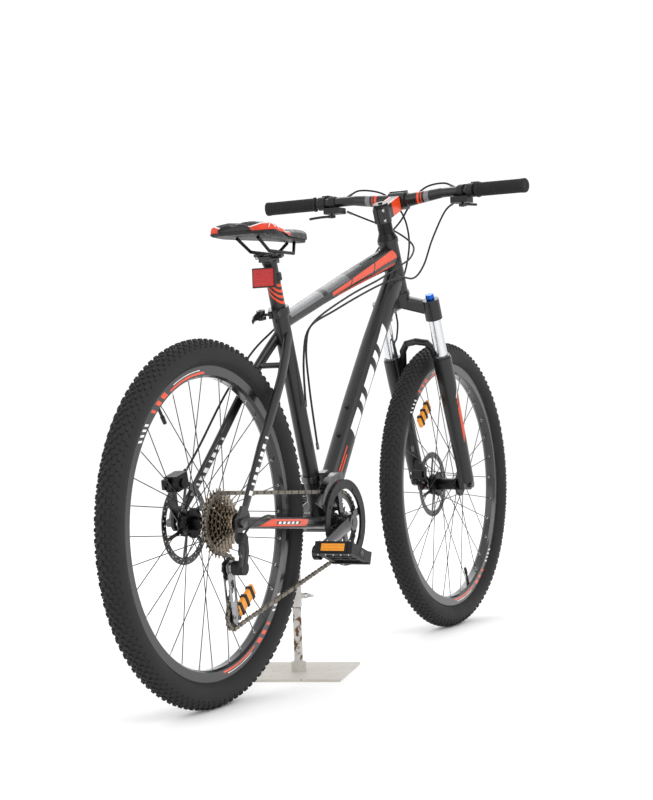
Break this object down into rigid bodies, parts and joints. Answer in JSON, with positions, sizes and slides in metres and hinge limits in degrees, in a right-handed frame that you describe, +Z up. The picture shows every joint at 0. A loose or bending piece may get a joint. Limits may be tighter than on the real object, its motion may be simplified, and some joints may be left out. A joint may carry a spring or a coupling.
{
  "type": "mountain bicycle on post stand",
  "caption": "Hardtail mountain bicycle with suspension fork, disc brakes and derailleur gears, held upright by a post stand under its left chain stay.",
  "frame": {"origin": "on the floor midway between the wheel axles, in the bicycle's middle plane", "axes": "+X forward, +Y to the rider's left, +Z up"},
  "size_m": [1.8238, 0.6754, 1.0704],
  "materials": {
    "frame_paint": "satin",
    "tyre_rubber": "matte",
    "black_alloy": "satin",
    "bright_steel": "satin",
    "chrome": "polished",
    "nickel_steel": "satin",
    "chain_steel": "oiled",
    "black_plastic": "matte",
    "grip_rubber": "matte",
    "saddle_cover": "satin",
    "red_lens": "gloss",
    "blue_alloy": "gloss",
    "stand_white": "worn",
    "silver_alloy": "satin"
  },
  "bodies": {
    "stand_base": {"base_plate": "stand_white", "inner_post": "bright_steel"},
    "wing_screw": {"wing_screw": "bright_steel"},
    "frame": {"stand_sleeve": "stand_white", "head_tube": "frame_paint", "top_tube": "frame_paint", "down_tube": "frame_paint", "seat_tube": "frame_paint", "bb_shell": "frame_paint", "chain_stays": "frame_paint", "seat_stays": "frame_paint", "seat_clamp": "black_alloy", "rear_axle": "bright_steel", "rear_caliper": "black_alloy", "front_derailleur": "nickel_steel", "rear_derailleur": "black_alloy", "chain": "chain_steel", "control_cables": "black_plastic"},
    "seat_lever": {"seat_lever": "black_alloy"},
    "seatpost": {"seat_post": "black_alloy", "saddle_rails": "black_alloy", "saddle_shell": "black_plastic", "saddle_pad": "saddle_cover", "rear_reflector": "red_lens"},
    "steering": {"fork_crown": "black_alloy", "stanchions": "chrome", "stem": "black_alloy", "face_plate": "black_alloy", "headset_stack": "black_alloy", "handlebar": "black_alloy", "grips": "grip_rubber", "bar_controls": "black_plastic"},
    "preload_knob": {"preload_knob": "blue_alloy"},
    "brake_lever_right": {"brake_lever_right": "silver_alloy"},
    "brake_lever_left": {"brake_lever_left": "silver_alloy"},
    "shift_lever_right": {"shift_lever_right": "black_plastic"},
    "shift_lever_left": {"shift_lever_left": "black_plastic"},
    "fork_lower": {"lower_legs": "frame_paint", "front_axle": "bright_steel", "front_caliper": "black_alloy"},
    "front_wheel": {"front_tyre": "tyre_rubber", "front_rim": "black_alloy", "front_spokes": "bright_steel", "front_hub": "black_alloy", "front_rotor": "bright_steel"},
    "rear_wheel": {"rear_tyre": "tyre_rubber", "rear_rim": "black_alloy", "rear_spokes": "bright_steel", "rear_hub": "black_alloy", "rear_rotor": "bright_steel"},
    "cassette": {"cassette": "nickel_steel"},
    "crank": {"crank_right": "black_alloy", "crank_left": "black_alloy", "chain_rings": "nickel_steel", "chain_guard": "black_plastic"},
    "pedal_right": {"pedal_right": "black_plastic"},
    "pedal_left": {"pedal_left": "black_plastic"},
    "derailleur_cage": {"derailleur_cage": "silver_alloy"},
    "guide_pulley": {"guide_pulley": "black_plastic"},
    "tension_pulley": {"tension_pulley": "black_plastic"}
  },
  "joints": [
    {"name": "stand_height", "type": "slide", "parent": "stand_base", "child": "frame", "axis": [0, 0, 1], "range_m": [0, 0.1]},
    {"name": "wing_screw_turn", "type": "hinge", "parent": "frame", "child": "wing_screw", "pos_m": [-0.167, 0.034, 0.162], "axis": [0.7071, -0.7071, 0], "continuous": true},
    {"name": "seatpost_height", "type": "slide", "parent": "frame", "child": "seatpost", "axis": [-0.309, 0, 0.9511], "range_m": [-0.045, 0.04]},
    {"name": "seat_lever_open", "type": "hinge", "parent": "frame", "child": "seat_lever", "pos_m": [-0.28023, 0.029, 0.75147], "axis": [-0.309, 0, 0.9511], "range_deg": [-170, 0]},
    {"name": "steering", "type": "hinge", "parent": "frame", "child": "steering", "pos_m": [0.51564, 0, 0.33127], "axis": [-0.3746, 0, 0.9272], "range_deg": [-60, 60], "deforming": ["control_cables"]},
    {"name": "fork_travel", "type": "slide", "parent": "steering", "child": "fork_lower", "axis": [-0.3746, 0, 0.9272], "range_m": [0, 0.075], "stiffness_N_per_m": 6000, "springref_m": -0.01, "deforming": ["control_cables"]},
    {"name": "front_wheel_spin", "type": "hinge", "parent": "fork_lower", "child": "front_wheel", "pos_m": [0.562, 0, 0.35], "axis": [0, 1, 0], "continuous": true},
    {"name": "rear_wheel_spin", "type": "hinge", "parent": "frame", "child": "rear_wheel", "pos_m": [-0.562, 0, 0.35], "axis": [0, 1, 0], "continuous": true},
    {"name": "crank_spin", "type": "hinge", "parent": "frame", "child": "crank", "pos_m": [-0.112, 0, 0.313], "axis": [0, 1, 0], "continuous": true, "deforming": ["chain"]},
    {"name": "cassette_spin", "type": "hinge", "parent": "frame", "child": "cassette", "pos_m": [-0.562, 0, 0.35], "axis": [0, 1, 0], "continuous": true},
    {"name": "pedal_right_spin", "type": "hinge", "parent": "crank", "child": "pedal_right", "pos_m": [-0.27541, -0.14, 0.26614], "axis": [0, 1, 0], "continuous": true},
    {"name": "pedal_left_spin", "type": "hinge", "parent": "crank", "child": "pedal_left", "pos_m": [0.05141, 0.14, 0.35986], "axis": [0, 1, 0], "continuous": true},
    {"name": "derailleur_cage_swing", "type": "hinge", "parent": "frame", "child": "derailleur_cage", "pos_m": [-0.545, -0.0303, 0.264], "axis": [0, 1, 0], "range_deg": [-12, 25]},
    {"name": "guide_pulley_spin", "type": "hinge", "parent": "derailleur_cage", "child": "guide_pulley", "pos_m": [-0.545, -0.0303, 0.264], "axis": [0, 1, 0], "continuous": true},
    {"name": "tension_pulley_spin", "type": "hinge", "parent": "derailleur_cage", "child": "tension_pulley", "pos_m": [-0.532, -0.0303, 0.168], "axis": [0, 1, 0], "continuous": true},
    {"name": "preload_turn", "type": "hinge", "parent": "steering", "child": "preload_knob", "pos_m": [0.35544, -0.065, 0.79718], "axis": [-0.3746, 0, 0.9272], "range_deg": [0, 330]},
    {"name": "brake_lever_left_pull", "type": "hinge", "parent": "steering", "child": "brake_lever_left", "pos_m": [0.35258, 0.194, 1.04871], "axis": [0, 0, 1], "range_deg": [0, 22], "stiffness_Nm_per_rad": 1.2, "springref_deg": -5.73},
    {"name": "brake_lever_right_pull", "type": "hinge", "parent": "steering", "child": "brake_lever_right", "pos_m": [0.35258, -0.194, 1.04871], "axis": [0, 0, -1], "range_deg": [0, 22], "stiffness_Nm_per_rad": 1.2, "springref_deg": -5.73},
    {"name": "shift_lever_left_push", "type": "hinge", "parent": "steering", "child": "shift_lever_left", "pos_m": [0.32278, 0.17, 1.01029], "axis": [0, 0, -1], "range_deg": [0, 25], "stiffness_Nm_per_rad": 0.3, "springref_deg": -5.73},
    {"name": "shift_lever_right_push", "type": "hinge", "parent": "steering", "child": "shift_lever_right", "pos_m": [0.32278, -0.17, 1.01029], "axis": [0, 0, 1], "range_deg": [0, 25], "stiffness_Nm_per_rad": 0.3, "springref_deg": -5.73}
  ],
  "couplings": [
    {"joint": "cassette_spin", "follows": "crank_spin", "ratio": 1.1429},
    {"joint": "guide_pulley_spin", "follows": "crank_spin", "ratio": -2.9091},
    {"joint": "tension_pulley_spin", "follows": "crank_spin", "ratio": 2.9091}
  ]
}
